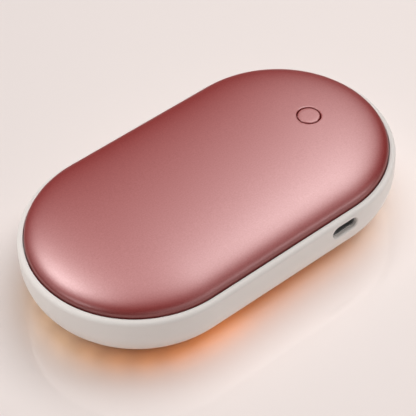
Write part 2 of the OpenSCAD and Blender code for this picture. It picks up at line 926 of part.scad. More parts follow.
// Tray that cradles the cells and carries the board on four posts
module chassis() {
    wall_h = floor_t + saddle_h;
    color([0.2, 0.2, 0.21])
        difference() {
            intersection() {
                stadium(chassis_r, floor_z - 1, board_z + 1);
                union() {
                    difference() {
                        union() {
                            chassis_plate();
                            chassis_walls(wall_h);
                            chassis_saddles(wall_h);
                            for (place = chassis_bosses)
                                post(place, floor_z, floor_z + chassis_boss_h, post_d);
                        }
                        cell_room();
                    }
                    for (place = board_posts)
                        post(place, floor_z, board_z, post_d);
                }
            }
            for (place = chassis_bosses)
                post(place, floor_z - 1, foot_plate_z + short_screw_l + slack, pilot_d);
            for (place = board_posts)
                post(place, board_top - short_screw_l - fit, board_z + 1, pilot_d);
            foot_passages(floor_z - 1);
        }
}

// Floor with a slot under the cells' valley
module chassis_plate() {
    slot_inset = 12;
    difference() {
        translate([cell_x0 - fit - strip_t - saddle_t, -chassis_y, floor_z])
            cube([far, 2 * chassis_y, floor_t]);
        translate([cell_x0 + slot_inset, -1.5, floor_z - 1])
            cube([cell_l - slot_inset - 16, 3, floor_t + 2]);
    }
}

// Side walls along the cells, each with two windows between the saddles
module chassis_walls(wall_h) {
    bay = (cell_l - 2 * saddle_inset) / 2;
    border = 1.2;
    difference() {
        for (side = [-1, 1])
            translate([-half, side * (chassis_y - saddle_t / 2) - saddle_t / 2, floor_z])
                cube([cell_x1 + half, saddle_t, wall_h]);
        for (i = [0:1])
            translate([
                cell_x0 + saddle_inset + i * bay + saddle_t + 3, -far / 2, floor_z + floor_t + border
            ])
                cube([bay - saddle_t - 6, far, saddle_h - 2 * border]);
    }
}

// Three saddles and the stop behind the cells
module chassis_saddles(wall_h) {
    bay = (cell_l - 2 * saddle_inset) / 2;
    for (x = [
        cell_x0 - fit - strip_t - saddle_t,
        cell_x0 + saddle_inset,
        cell_x0 + saddle_inset + bay,
        cell_x0 + saddle_inset + 2 * bay
    ])
        translate([x, -chassis_y, floor_z])
            cube([saddle_t, 2 * chassis_y, wall_h]);
}

// Holes for the lower leads and the lower thermistor
module foot_passages(z0) {
    for (side = [-1, 1])
        post([foot_lead_x, side * lead_y], z0, far, lead_d + 2 * slack);
    post([bead_x, foot_bead_y], z0, far, bead_d + 4 * slack);
}

// Can with a crimped neck at its positive end and a cap in a ring groove
module battery_cell(side) {
    rim = 0.6;
    neck_z = cell_l - 2.6;
    groove_r = cap_d / 2 + 1.5;
    color([0.16, 0.33, 0.58])
        translate([cell_x0, side * cell_y, cell_z])
            rotate([0, 90, 0])
                rotate_extrude()
                    polygon([
                        [0, 0], [cell_r - rim, 0], [cell_r, rim], [cell_r, neck_z - rim],
                        [cell_r - rim, neck_z], [cell_r, neck_z + rim], [cell_r, cell_l - rim],
                        [cell_r - rim, cell_l], [groove_r, cell_l], [groove_r, cell_l - fit],
                        [cap_d / 2, cell_l - fit], [cap_d / 2 - fit, cell_l + cap_h],
                        [0, cell_l + cap_h]
                    ]);
}

module battery_cell_near() {
    battery_cell(-1);
}

module battery_cell_far() {
    battery_cell(1);
}

// Nickel strip across both cells' caps, notched where the negative lead passes
module positive_strip() {
    color([0.75, 0.74, 0.7])
        difference() {
            translate([cell_x1, -strip_reach, cell_z - strip_w / 2])
                cube([strip_t, 2 * strip_reach, strip_w]);
            translate([cell_x1 - 1, -battery_lead_d, lead_z - battery_lead_d])
                cube([2, 2 * battery_lead_d, strip_w]);
        }
}

module negative_strip() {
    color([0.75, 0.74, 0.7])
        translate([cell_x0 - strip_t, -strip_reach, cell_z - strip_w / 2])
            cube([strip_t, 2 * strip_reach, strip_w]);
}

// Small board that stands on the chassis floor beside the positive strip
module protection_board() {
    color([0.05, 0.3, 0.15])
        translate([cell_x1 + strip_t + 2 * slack, -strip_reach, floor_z + floor_t])
            cube([0.8, 2 * strip_reach, strip_w]);
}

// Straight lead along X at the leads' height
module battery_lead(x0, x1, y, d) {
    translate([x0, y, lead_z])
        rotate([0, 90, 0])
            cylinder(h = x1 - x0, d = d);
}

// Short lead from the positive strip to the connector
module battery_lead_positive() {
    color([0.75, 0.08, 0.08])
        battery_lead(cell_x1 + strip_t, battery_plug_x - fit, positive_lead_y, battery_lead_d);
}

// Long lead that lies in the valley on top of the two cells
module battery_lead_negative() {
    color([0.08, 0.08, 0.08])
        battery_lead(cell_x0, battery_plug_x - fit, 0, battery_lead_d);
}

// Countersunk screws that point up from the lower carrier's face
module chassis_screws() {
    color([0.6, 0.6, 0.62])
        for (place = chassis_bosses)
            translate([place[0], place[1], foot_plate_z]) {
                cylinder(h = plate_t - slack, d1 = head_d, d2 = screw_d);
                cylinder(h = short_screw_l, d = screw_d);
            }
}

module bottom_thermistor() {
    color([0.1, 0.1, 0.1]) {
        post([bead_x, foot_bead_y], foot_pad_z + hair, foot_plate_z + hair, bead_d);
        bead_leads(foot_bead_y, foot_plate_z, board_z);
    }
}

module bottom_heater_leads() {
    color([0.7, 0.1, 0.1])
        for (side = [-1, 1])
            post([foot_lead_x, side * lead_y], foot_pad_z, board_z, lead_d);
}

// Tray above the lower film: it clamps the shell's tabs and is screwed to frame and chassis
module bottom_carrier() {
    color([0.16, 0.16, 0.17])
        difference() {
            sweep() {
                block2d(0, foot_plate_z, foot_web_r, floor_z);
                block2d(foot_web_r - web_t, foot_plate_z, foot_web_r, foot_shelf_z);
                block2d(foot_web_r - web_t, foot_flange_z, foot_flange_r, foot_shelf_z);
            }
            at_tabs()
                block(foot_shell_r - shell_t - tab_l - fit, foot_shelf_z - tab_t - slack,
                    foot_flange_r + 1, foot_shelf_z + 1, tab_w + 2 * fit);
            for (place = foot_bosses)
                post(place, foot_flange_z - 1, foot_shelf_z + 1, screw_hole_d);
            for (place = chassis_bosses)
                translate([place[0], place[1], foot_plate_z])
                    countersink();
            foot_passages(foot_plate_z - 1);
        }
}

// Seat for a countersunk head that is flush with the plate
module countersink() {
    translate([0, 0, -1])
        cylinder(h = plate_t + 2, d = screw_d + 2 * slack);
    translate([0, 0, -slack])
        cylinder(h = plate_t, d1 = head_d + 4 * slack, d2 = screw_d + 2 * slack);
}

module bottom_screws() {
    color([0.6, 0.6, 0.62])
        for (place = foot_bosses)
            translate([place[0], place[1], foot_flange_z])
                mirror([0, 0, 1])
                    pan_screw(screw_l);
}

module bottom_pad() {
    color([0.25, 0.25, 0.27])
        difference() {
            stadium(foot_heater_r, foot_pad_z, foot_plate_z);
            foot_passages(0);
        }
}

module bottom_heater() {
    color([0.72, 0.45, 0.12])
        stadium(foot_heater_r, shell_t + hair, shell_t + hair + heater_t);
}

// Shallow pan whose skirt ends in tabs that the carrier clamps
module bottom_shell() {
    color([0.78, 0.50, 0.49]) {
        sweep()
            difference() {
                foot2d(0, foot_shelf_z);
                foot2d(shell_t, foot_shelf_z + 1);
            }
        at_tabs()
            block(foot_shell_r - shell_t - tab_l, foot_shelf_z - tab_t,
                foot_shell_r - shell_t / 2, foot_shelf_z, tab_w);
    }
}

top_shell();
top_heater();
top_pad();
top_carrier();
top_screws();
top_thermistor();
top_heater_leads();
power_button();
mid_frame();
main_board();
tact_switch();
switch_plunger();
usb_shell();
usb_tongue();
charger_chip();
inductor();
heater_switches();
capacitors();
resistors();
battery_connector();
heater_connector();
board_screws();
chassis();
battery_cell_near();
battery_cell_far();
positive_strip();
negative_strip();
protection_board();
battery_lead_positive();
battery_lead_negative();
chassis_screws();
bottom_thermistor();
bottom_heater_leads();
bottom_carrier();
bottom_screws();
bottom_pad();
bottom_heater();
bottom_shell();
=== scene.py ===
# %% [markdown]
# # A rechargeable hand warmer
# The object is a smooth pebble: a rose metal dome above, a metal sole below, and an off-white
# moulded ring between them with a charging inlet. Its solids come from a CAD frame. Here they get
# their finishes, and the two pieces that the eye rests on, dome and button, are modelled finer.

# %% Load the frame
import json
import math
import bpy
from mathutils import Matrix, Vector


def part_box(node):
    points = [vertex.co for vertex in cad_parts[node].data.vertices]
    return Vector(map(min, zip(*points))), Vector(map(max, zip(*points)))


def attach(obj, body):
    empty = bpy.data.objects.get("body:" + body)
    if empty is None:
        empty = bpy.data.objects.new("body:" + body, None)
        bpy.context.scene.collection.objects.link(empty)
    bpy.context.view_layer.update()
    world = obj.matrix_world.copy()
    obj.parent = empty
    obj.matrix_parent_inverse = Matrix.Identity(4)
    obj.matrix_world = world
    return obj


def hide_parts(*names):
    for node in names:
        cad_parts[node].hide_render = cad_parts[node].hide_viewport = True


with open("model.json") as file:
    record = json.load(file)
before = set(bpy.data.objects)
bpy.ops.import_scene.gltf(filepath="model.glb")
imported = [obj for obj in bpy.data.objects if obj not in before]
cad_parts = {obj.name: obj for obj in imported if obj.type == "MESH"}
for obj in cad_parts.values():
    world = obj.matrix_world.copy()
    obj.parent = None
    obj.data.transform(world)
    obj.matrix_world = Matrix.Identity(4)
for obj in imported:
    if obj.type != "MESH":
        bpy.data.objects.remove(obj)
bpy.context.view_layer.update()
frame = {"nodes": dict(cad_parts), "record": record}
nodes = frame["nodes"]

# %% [markdown]
# The solids say where everything is. The dome's box gives the stadium of the plan: its half width
# is the radius of the round ends, and what is left of the length lies between their centres.

# %% Read the main measures
mm = 0.001
shell_low, shell_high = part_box("top_shell")
ring_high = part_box("mid_frame")[1]
cap_low, cap_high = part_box("power_button")
shell_radius = shell_high.y
end_x = shell_high.x - shell_radius
top_z, skirt_z, seam_z = shell_high.z, shell_low.z, ring_high.z
button_x = (cap_low.x + cap_high.x) / 2
for label, value in (("end radius", shell_radius), ("end centre", end_x), ("top", top_z),
                     ("seam", seam_z), ("button", button_x)):
    print(f"{label}: {value / mm:.2f} mm")

# %% [markdown]
# The camera stands where the photographer's did: to the left of the long side with the inlet, and
# 46 degrees above it. A long lens keeps the outline almost parallel.

# %% Camera
def bearing(azimuth, elevation):
    """Unit vector towards a place in the studio; azimuth 0 is in front of the long side."""
    a, e = math.radians(azimuth), math.radians(elevation)
    return Vector((math.sin(a) * math.cos(e), -math.cos(a) * math.cos(e), math.sin(e)))


target = Vector((-5.66, -5.92, 21.3)) * mm
back = bearing(-38.23, 46.16)
right = Vector((-back.y, back.x, 0)).normalized()
up = back.cross(right)
roll = math.radians(-1.89)
across = math.cos(roll) * right + math.sin(roll) * up
upward = math.cos(roll) * up - math.sin(roll) * right

lens = bpy.data.cameras.new("photo_view")
lens.lens, lens.sensor_width = 151.84, 36
lens.clip_start, lens.clip_end = 0.01, 20
camera = bpy.data.objects.new("photo_view", lens)
bpy.context.scene.collection.objects.link(camera)
place = Matrix((across, upward, back)).transposed().to_4x4()
place.translation = target + 493.2 * mm * back
camera.matrix_world = place
bpy.context.scene.camera = camera
print("camera at", [round(c / mm, 1) for c in camera.location])

# %% [markdown]
# Shader maths reads best as plain sums. A small class wraps a socket and overloads Python's
# operators, so that `1 - mask` adds a Math node. Another keeps the tree of one finish, and one
# method of it makes any node: its settings are set first, then the values or links of its sockets.

# %% Shader expressions
class Wire:
    """An output socket that takes part in Python sums."""

    def __init__(self, finish, socket):
        self.finish, self.socket = finish, socket

    def math(self, operation, first, second=0.0):
        return self.finish.node("Math", {"operation": operation}, {0: first, 1: second})

    def __add__(self, other):
        return self.math("ADD", self, other)

    def __sub__(self, other):
        return self.math("SUBTRACT", self, other)

    def __rsub__(self, other):
        return self.math("SUBTRACT", other, self)

    def __mul__(self, other):
        return self.math("MULTIPLY", self, other)

    def __gt__(self, other):
        return self.math("GREATER_THAN", self, other)

    def __lt__(self, other):
        return self.math("LESS_THAN", self, other)

    __radd__ = __add__

    def wave(self, pitch):
        """Triangle wave: the distance from the middle of each pitch, in metres."""
        folded = self.math("FLOORED_MODULO", self, pitch)
        return self.math("ABSOLUTE", folded - pitch / 2)


class Finish:
    """The node tree of one material, read from Object coordinates."""

    def __init__(self, name):
        self.material = bpy.data.materials.new(name)
        self.material.use_nodes = True
        self.tree = self.material.node_tree
        self.tree.nodes.clear()
        self.place = self.node("TexCoord", output="Object")

    def node(self, kind, settings=None, inputs=None, output=0):
        made = self.tree.nodes.new("ShaderNode" + kind)
        for name, value in (settings or {}).items():
            setattr(made, name, value)
        for name, value in (inputs or {}).items():
            socket = made.inputs[name]
            if isinstance(value, Wire):
                self.tree.links.new(value.socket, socket)
            else:
                socket.default_value = (*value, 1) if socket.type == "RGBA" else value
        return Wire(self, made.outputs[output])

    def stretched(self, x, y, z):
        """The place on the piece, scaled per axis, for grain that runs one way."""
        return self.node("Mapping", None, {"Vector": self.place, "Scale": (x, y, z)})

    def noise(self, size, detail=2.0, place=None):
        """Soft cloud from 0 to 1, with features about size metres across."""
        return self.node("TexNoise", None,
                         {"Vector": place or self.place, "Scale": 1 / size, "Detail": detail})

    def along(self, axis):
        """One coordinate of the place, in metres."""
        return self.node("SeparateXYZ", None, {0: self.place}, axis)

    def blend(self, factor, first, second):
        """Colour between two colours; a Mix node has its colours at inputs 6, 7 and output 2."""
        return self.node("Mix", {"data_type": "RGBA"}, {0: factor, 6: first, 7: second}, 2)

    def bump(self, height, depth, strength=1.0):
        return self.node("Bump", None, {"Height": height, "Distance": depth, "Strength": strength})

    def surface(self, **sockets):
        named = {name.replace("_", " "): value for name, value in sockets.items()}
        shader = self.node("BsdfPrincipled", None, named)
        output = self.tree.nodes.new("ShaderNodeOutputMaterial")
        self.tree.links.new(shader.socket, output.inputs["Surface"])
        return self.material


print("shader expressions ready")

# %% [markdown]
# The shells are drawn metal with a satin rose lacquer. The colour lies deep, in the tinted flakes,
# and hardly changes from side to side. The gloss lies on top, in a clear satin coat, and is white:
# that is why the highlights turn pale. So the base is about a third metal, with no gloss of its own,
# and the rough coat over it is thicker on some flakes than on others, which makes it speckled.

# %% Rose lacquer
def rose_lacquer():
    finish = Finish("rose_lacquer")
    flakes = finish.noise(0.42 * mm, 3)
    clouds = finish.noise(9 * mm, 2)
    tone = finish.blend(flakes, (0.205, 0.003, 0.001), (0.31, 0.007, 0.003))
    tone = finish.blend(clouds * 0.2, tone, (0.25, 0.005, 0.002))
    return finish.surface(
        Base_Color=tone, Metallic=0.3, Roughness=0.48 + flakes * 0.06,
        Coat_Weight=0.74 + flakes * 0.4, Coat_Roughness=0.42, Coat_IOR=2.15,
        Specular_IOR_Level=0.0,
        Normal=finish.bump(flakes, 0.004 * mm, 0.5))


rose = rose_lacquer()
print("finish", rose.name)

# %% [markdown]
# The ring is moulded in off-white plastic from an eroded mould, so it is satin: a very fine grain
# that scatters the light, over a faint unevenness of the moulding.

# %% Off-white moulding
def satin_white():
    finish = Finish("satin_white")
    grain = finish.noise(0.12 * mm, 2)
    drift = finish.noise(14 * mm, 2)
    tone = finish.blend(drift, (0.775, 0.72, 0.68), (0.805, 0.75, 0.71))
    return finish.surface(
        Base_Color=tone, Roughness=0.42 + grain * 0.08, IOR=1.5,
        Normal=finish.bump(grain, 0.004 * mm, 0.4))


white = satin_white()
print("finish", white.name)

# %% [markdown]
# The carriers and the chassis are black mouldings that nobody polishes: an even, slightly greyed
# black with the grain of the mould and paler scuffs.

# %% Black moulding
def grained_black(name, dark, pale, grain_size, gloss):
    finish = Finish(name)
    grain = finish.noise(grain_size, 3)
    scuffs = finish.noise(5 * mm, 4)
    tone = finish.blend(grain * 0.6 + scuffs * 0.4, dark, pale)
    return finish.surface(
        Base_Color=tone, Roughness=gloss + scuffs * 0.15,
        Normal=finish.bump(grain, 0.01 * mm, 0.6))


black_moulding = grained_black(
    "black_moulding", (0.012, 0.012, 0.014), (0.035, 0.035, 0.038), 0.3 * mm, 0.45)
component_black = grained_black(
    "component_black", (0.008, 0.008, 0.009), (0.03, 0.03, 0.03), 0.12 * mm, 0.4)
ferrite = grained_black("ferrite", (0.04, 0.04, 0.043), (0.11, 0.11, 0.115), 0.2 * mm, 0.6)
print("finishes", black_moulding.name, component_black.name, ferrite.name)

# %% [markdown]
# A film heater is an amber sheet with thin metal tracks inside it. Two triangle waves draw them
# without any image: one sets the tracks side by side, the other breaks them at even steps. A metre
# is added to each coordinate first, so that it stays above zero.

# %% Heater film
def heater_film():
    finish = Finish("heater_film")
    x, y = finish.along("X"), finish.along("Y")
    pitch, run, half_gap = 2.4 * mm, 17 * mm, 0.35 * mm
    lines = (y + 1).wave(pitch) < pitch * 0.2
    breaks = (x + 1).wave(run) > half_gap
    track = lines * breaks
    haze = finish.noise(3 * mm, 3)
    film = finish.blend(haze, (0.46, 0.17, 0.025), (0.58, 0.24, 0.045))
    return finish.surface(
        Base_Color=finish.blend(track, film, (0.42, 0.30, 0.18)),
        Metallic=track * 0.7, Roughness=0.28 + haze * 0.12,
        Normal=finish.bump(track, 0.03 * mm, 0.5))


film = heater_film()
print("finish", film.name)

# %% [markdown]
# Closed-cell foam shows its cells as shallow dimples where it was sliced.

# %% Foam
def sliced_foam():
    finish = Finish("sliced_foam")
    cells = finish.node("TexVoronoi", {"feature": "F1"},
                        {"Vector": finish.place, "Scale": 1 / (0.5 * mm)}, "Distance")
    tone = finish.blend(cells, (0.02, 0.02, 0.023), (0.055, 0.055, 0.06))
    return finish.surface(
        Base_Color=tone, Roughness=0.9, Sheen_Weight=0.2,
        Normal=finish.bump(cells, 0.12 * mm, 0.7))


foam = sliced_foam()
print("finish", foam.name)

# %% [markdown]
# Bare metals differ in how they were worked. The socket's sheet and the nickel strips were rolled,
# so their grain runs one way; the screws were tumbled and plated, so theirs has no direction. The
# socket's steel is the palest and the dullest, because it shows as a light grey in the opening.

# %% Bare metals
def worked_metal(name, dark, pale, stretch, gloss, depth):
    finish = Finish(name)
    grain = finish.noise(0.15 * mm, 3, finish.stretched(*stretch))
    stains = finish.noise(4 * mm, 3)
    tone = finish.blend(grain * 0.7 + stains * 0.3, dark, pale)
    return finish.surface(
        Base_Color=tone, Metallic=1.0, Roughness=gloss + grain * 0.15 + stains * 0.06,
        Normal=finish.bump(grain, depth, 0.4))


screw_steel = worked_metal(
    "screw_steel", (0.42, 0.42, 0.44), (0.62, 0.62, 0.63), (1, 1, 1), 0.25, 0.01 * mm)
socket_steel = worked_metal(
    "socket_steel", (0.66, 0.66, 0.66), (0.80, 0.80, 0.80), (1, 0.06, 1), 0.34, 0.006 * mm)
nickel = worked_metal(
    "nickel", (0.50, 0.47, 0.42), (0.68, 0.65, 0.59), (1, 0.05, 1), 0.28, 0.006 * mm)
print("finishes", screw_steel.name, socket_steel.name, nickel.name)

# %% [markdown]
# A circuit board is glass cloth under a green mask. The mask lies a little higher over the copper
# tracks, which show as paler lines. A stepped noise decides where they run across the board and
# where along it.

# %% Circuit board
def masked_board():
    finish = Finish("masked_board")
    x, y = finish.along("X"), finish.along("Y")
    area = finish.noise(7 * mm, 0) > 0.5
    pitch, half_width = 0.9 * mm, 0.16 * mm
    rows = (x + 1).wave(pitch) < half_width
    columns = (y + 1).wave(pitch) < half_width
    tracks = area * rows + (1 - area) * columns
    tone = finish.blend(tracks, (0.006, 0.075, 0.03), (0.018, 0.15, 0.06))
    cloth = finish.noise(0.2 * mm, 2)
    return finish.surface(
        Base_Color=tone, Roughness=0.22 + cloth * 0.12, Coat_Weight=0.5, Coat_Roughness=0.1,
        Normal=finish.bump(tracks + cloth * 0.2, 0.02 * mm, 0.5))


board = masked_board()
print("finish", board.name)

# %% [markdown]
# Small parts on the board: fired ceramic chips with tinned ends, and the glossy nylon of
# connectors and plunger.

# %% Ceramic and nylon
def tinned_ceramic():
    finish = Finish("tinned_ceramic")
    first_x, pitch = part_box("capacitors")[0].x, 4 * mm
    near_end = (finish.along("X") - first_x + 0.4 * mm).wave(pitch)
    tin = near_end > 1.0 * mm
    mottle = finish.noise(0.4 * mm, 3)
    body = finish.blend(mottle, (0.24, 0.15, 0.075), (0.36, 0.24, 0.13))
    return finish.surface(
        Base_Color=finish.blend(tin, body, (0.6, 0.6, 0.58)), Metallic=tin,
        Roughness=0.38 + mottle * 0.15, Normal=finish.bump(mottle, 0.02 * mm, 0.4))


def moulded_nylon(name, dark, pale):
    finish = Finish(name)
    flow = finish.noise(1.5 * mm, 3)
    return finish.surface(
        Base_Color=finish.blend(flow, dark, pale), Roughness=0.3 + flow * 0.12,
        Subsurface_Weight=0.1, Subsurface_Radius=(0.6 * mm, 0.5 * mm, 0.4 * mm),
        Subsurface_Scale=1.0, Normal=finish.bump(flow, 0.02 * mm, 0.3))


ceramic = tinned_ceramic()
connector_white = moulded_nylon("connector_white", (0.72, 0.69, 0.62), (0.80, 0.77, 0.70))
plunger_cream = moulded_nylon("plunger_cream", (0.62, 0.57, 0.47), (0.70, 0.65, 0.54))
print("finishes", ceramic.name, connector_white.name, plunger_cream.name)

# %% [markdown]
# The cells wear a blue shrink sleeve that is drawn tight over the can and ends in a bare steel
# bottom and cap. The leads are silicone with a dull, slightly dusty skin.

# %% Cells and leads
def sleeved_cell():
    finish = Finish("sleeved_cell")
    low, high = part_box("battery_cell_near")
    x = finish.along("X")
    bare = (x < low.x + 0.35 * mm) + (x > high.x - 1.1 * mm)
    wrinkles = finish.noise(2.5 * mm, 4, finish.stretched(0.15, 1, 1))
    sleeve = finish.blend(wrinkles, (0.008, 0.035, 0.13), (0.015, 0.06, 0.20))
    return finish.surface(
        Base_Color=finish.blend(bare, sleeve, (0.55, 0.54, 0.52)), Metallic=bare,
        Roughness=0.2 + wrinkles * 0.15, Normal=finish.bump(wrinkles, 0.05 * mm, 0.3))


def silicone_lead(name, dark, pale):
    finish = Finish(name)
    dust = finish.noise(0.5 * mm, 4)
    return finish.surface(
        Base_Color=finish.blend(dust, dark, pale), Roughness=0.5 + dust * 0.2,
        Normal=finish.bump(dust, 0.02 * mm, 0.3))


cell_sleeve = sleeved_cell()
lead_red = silicone_lead("lead_red", (0.36, 0.012, 0.01), (0.50, 0.03, 0.02))
lead_black = silicone_lead("lead_black", (0.01, 0.01, 0.01), (0.035, 0.035, 0.035))
print("finishes", cell_sleeve.name, lead_red.name, lead_black.name)

# %% [markdown]
# Each solid names a material slot in the frame's record, and each slot has one finish, so the
# whole inside is dressed in a single walk through the record.

# %% Dress the solids
finish_of_slot = {
    "rose_shell": rose, "white_frame": white, "black_moulding": black_moulding,
    "heater_film": film, "foam": foam, "screw_steel": screw_steel,
    "socket_steel": socket_steel, "nickel": nickel, "board_green": board,
    "component_black": component_black, "ferrite": ferrite, "ceramic": ceramic,
    "connector_white": connector_white, "plunger_cream": plunger_cream,
    "cell_wrap": cell_sleeve, "lead_red": lead_red, "lead_black": lead_black,
}
for entry in frame["record"]["subparts"]:
    solid = nodes[entry["node"]]
    for slot in solid.material_slots:
        slot.material = finish_of_slot[entry["material_slot"]]

# %% [markdown]
# Both shells follow the stadium of the plan. As on a potter's wheel, a section is drawn once, as a
# chain of points, then spun half a turn round each end centre and pulled along both straights.

# %% Helpers for swept pieces
def trace(name, points):
    """Draws a chain of edges by extruding one vertex from point to point."""
    bpy.ops.object.select_all(action="DESELECT")
    bpy.ops.mesh.primitive_plane_add(size=mm, location=points[0])
    piece = bpy.context.object
    piece.name = piece.data.name = name
    bpy.ops.object.mode_set(mode="EDIT")
    bpy.ops.mesh.select_mode(type="VERT")
    bpy.ops.mesh.select_all(action="SELECT")
    bpy.ops.mesh.merge(type="CENTER")
    for here, there in zip(points, points[1:]):
        step = Vector(there) - Vector(here)
        bpy.ops.mesh.extrude_region_move(TRANSFORM_OT_translate={"value": step})
    bpy.ops.mesh.select_all(action="SELECT")
    return piece


def close_up(piece, angle):
    """Merges the doubles, turns the faces outward, and puts the origin at the world's."""
    bpy.ops.mesh.select_all(action="SELECT")
    bpy.ops.mesh.remove_doubles(threshold=0.001 * mm)
    bpy.ops.mesh.normals_make_consistent(inside=False)
    bpy.ops.object.mode_set(mode="OBJECT")
    bpy.ops.object.transform_apply(location=True, rotation=True, scale=True)
    bpy.ops.object.shade_smooth_by_angle(angle=math.radians(angle))


def sweep_stadium(name, section, steps=96, angle=35):
    """Sweeps a section of (distance outward, height) round the stadium."""
    piece = trace(name, [(end_x, -r, z) for r, z in section])
    for side in (1, -1):
        bpy.ops.mesh.spin(steps=steps, angle=-math.pi, center=(side * end_x, 0, 0), axis=(0, 0, 1))
        bpy.ops.mesh.extrude_region_move(
            TRANSFORM_OT_translate={"value": (-side * 2 * end_x, 0, 0)})
    close_up(piece, angle)
    print(name, len(piece.data.polygons), "faces")
    return piece


print("sweeping helpers ready")

# %% [markdown]
# The dome has no edge between its crown and its shoulder: its curve tightens steadily from the
# middle to the seam, like a pebble's. A superellipse does that with two exponents. The wall goes on
# below the seam as a skirt inside the ring, and the inside is the same curve, one sheet thinner.

# %% Section of the dome
crown_power, shoulder_power = 2.0, 3.2
crowding = 0.12  # how far the samples gather in the middle of the turn
sheet = 1.0 * mm


def pebble_section(radius, base, rise, samples=56):
    """Points of the curve, from the middle to the seam."""
    points = []
    for i in range(samples + 1):
        share = i / samples
        turn = math.pi / 2 * (share + crowding * math.sin(2 * math.pi * share) / math.pi)
        r = radius * math.sin(turn) ** (2 / crown_power)
        z = base + rise * max(math.cos(turn), 0) ** (2 / shoulder_power)
        points.append((r, z))
    return points


def inset(points, distance):
    """The same curve, moved inward along its normals."""
    moved = []
    last = len(points) - 1
    for i, (r, z) in enumerate(points):
        if i == 0:
            tilt = 0
        elif i == last:
            tilt = math.pi / 2
        else:
            (r0, z0), (r1, z1) = points[i - 1], points[i + 1]
            tilt = math.atan2(z0 - z1, r1 - r0)
        moved.append((max(r - distance * math.sin(tilt), 0), z - distance * math.cos(tilt)))
    return moved


outer = pebble_section(shell_radius, seam_z, top_z - seam_z)
inner = inset(outer, sheet)
dome_section = outer + [(shell_radius, skirt_z), (shell_radius - sheet, skirt_z)] + inner[::-1]
print("section of", len(dome_section), "points")

# %% [markdown]
# The section goes once round the stadium. The height of the finished curve is needed again where
# the button goes through it, so it gets a function of its own.

# %% Dome
dome = sweep_stadium("rose_dome", dome_section)


def crown_height(reach):
    """Height of the dome's outside at a distance from the middle line."""
    share = (reach / shell_radius) ** crown_power
    return seam_z + (top_z - seam_z) * (1 - share) ** (1 / shoulder_power)


# %% [markdown]
# The button lies in a round hole on the dome's slope. Its axis leans with the slope, by the angle
# that the curve has there, so every ring drawn round that axis is flush with the sheet.

# %% Axis of the button
reach = button_x - end_x
slope = math.atan2(crown_height(reach - mm) - crown_height(reach + mm), 2 * mm)
lean = Vector((math.sin(slope), 0, math.cos(slope)))
crown = Vector((button_x, 0, crown_height(reach)))
print(f"the button leans {math.degrees(slope):.1f} degrees")


def turned(name, profile, steps=96, angle=30):
    """Spins a profile of (radius, height over the sheet) round the button's axis."""
    piece = trace(name, [crown + height * lean - Vector((0, radius, 0))
                         for radius, height in profile])
    bpy.ops.mesh.spin(steps=steps, angle=2 * math.pi, center=crown, axis=lean)
    close_up(piece, angle)
    return piece


def fillet(radius, height, size, turns, inward):
    """Points of a small quarter round at the corner (radius, height)."""
    return [(radius + inward * size * (1 - math.cos(math.radians(t))),
             height - size * (1 - math.sin(math.radians(t)))) for t in turns]


# %% [markdown]
# The hole is cut by a turned punch that flares at the top. The flare leaves the edge of the sheet
# rounded over, as pressing does, and that tiny round is what catches the light as a thin arc.

# %% Hole for the button
hole_radius, edge_round = 3.58 * mm, 0.34 * mm
punch_depth, rise, spread = 4 * mm, 0.3 * mm, 2.7
flare = fillet(hole_radius, 0, edge_round, (0, 12, 24, 36, 48, 60, 70), 1)
flare_radius, flare_height = flare[-1]
punch = turned("punch", [(0, -punch_depth), (hole_radius, -punch_depth)] + flare + [
    (flare_radius + rise * spread, flare_height + rise), (0, flare_height + rise)])
bpy.ops.object.select_all(action="DESELECT")
bpy.context.view_layer.objects.active = dome
dome.select_set(True)
cut = dome.modifiers.new("punched", "BOOLEAN")
cut.operation, cut.solver, cut.object = "DIFFERENCE", "EXACT", punch
bpy.ops.object.modifier_apply(modifier=cut.name)
bpy.data.objects.remove(punch)
bpy.ops.object.shade_smooth_by_angle(angle=math.radians(35))
dome.data.materials.append(rose)
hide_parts("top_shell")
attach(dome, "housing")
print("dome with its hole:", len(dome.data.polygons), "faces")

# %% [markdown]
# The button is a turned piece too: a cap whose rim is rounded, a collar that keeps it under the
# sheet, and a stem that meets the switch. Its profile is spun once round the same leaning axis.
# The cap is narrower than the hole and sinks a little toward its rim, so a thin dark line with a
# lit edge runs round it.

# %% Button
cap_radius, flat_share = 3.34 * mm, 0.6
middle_sink, flat_sink, rim_sink = 0.01 * mm, 0.012 * mm, 0.02 * mm
collar_radius = (cap_high.y - cap_low.y) / 2
collar_play, collar_thick = 0.42 * mm, 0.7 * mm
collar_depth = sheet + collar_play
stem_radius, stem_depth = 2.0 * mm, crown.z - cap_low.z - 0.05 * mm
rounded = fillet(cap_radius, -rim_sink, edge_round, (90, 75, 60, 45, 30, 15, 0), -1)
top = [(0, -middle_sink), (cap_radius * flat_share, -flat_sink)]
button = turned("rose_button", top + rounded + [
    (cap_radius, -collar_depth), (collar_radius, -collar_depth),
    (collar_radius, -collar_depth - collar_thick), (stem_radius, -collar_depth - collar_thick),
    (stem_radius, -stem_depth), (0, -stem_depth)])
button.data.materials.append(rose)
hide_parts("power_button")
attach(button, "button")
print("button:", len(button.data.polygons), "faces")

# %% [markdown]
# The set is a pale polished table top, in a warm off-white. Its gloss is almost as sharp as glass
# and a little stronger, and gives the faint mirror image below the object.

# %% Table top
bpy.ops.object.select_all(action="DESELECT")
bpy.ops.mesh.primitive_plane_add(size=6, location=(0, 0, 0))
table = bpy.context.object
table.name = "table_top"
polished = Finish("polished_table")
table.data.materials.append(polished.surface(
    Base_Color=(0.78, 0.70, 0.672), Roughness=0.03, IOR=1.7))
print("table top", [round(side, 1) for side in table.dimensions], "metres")

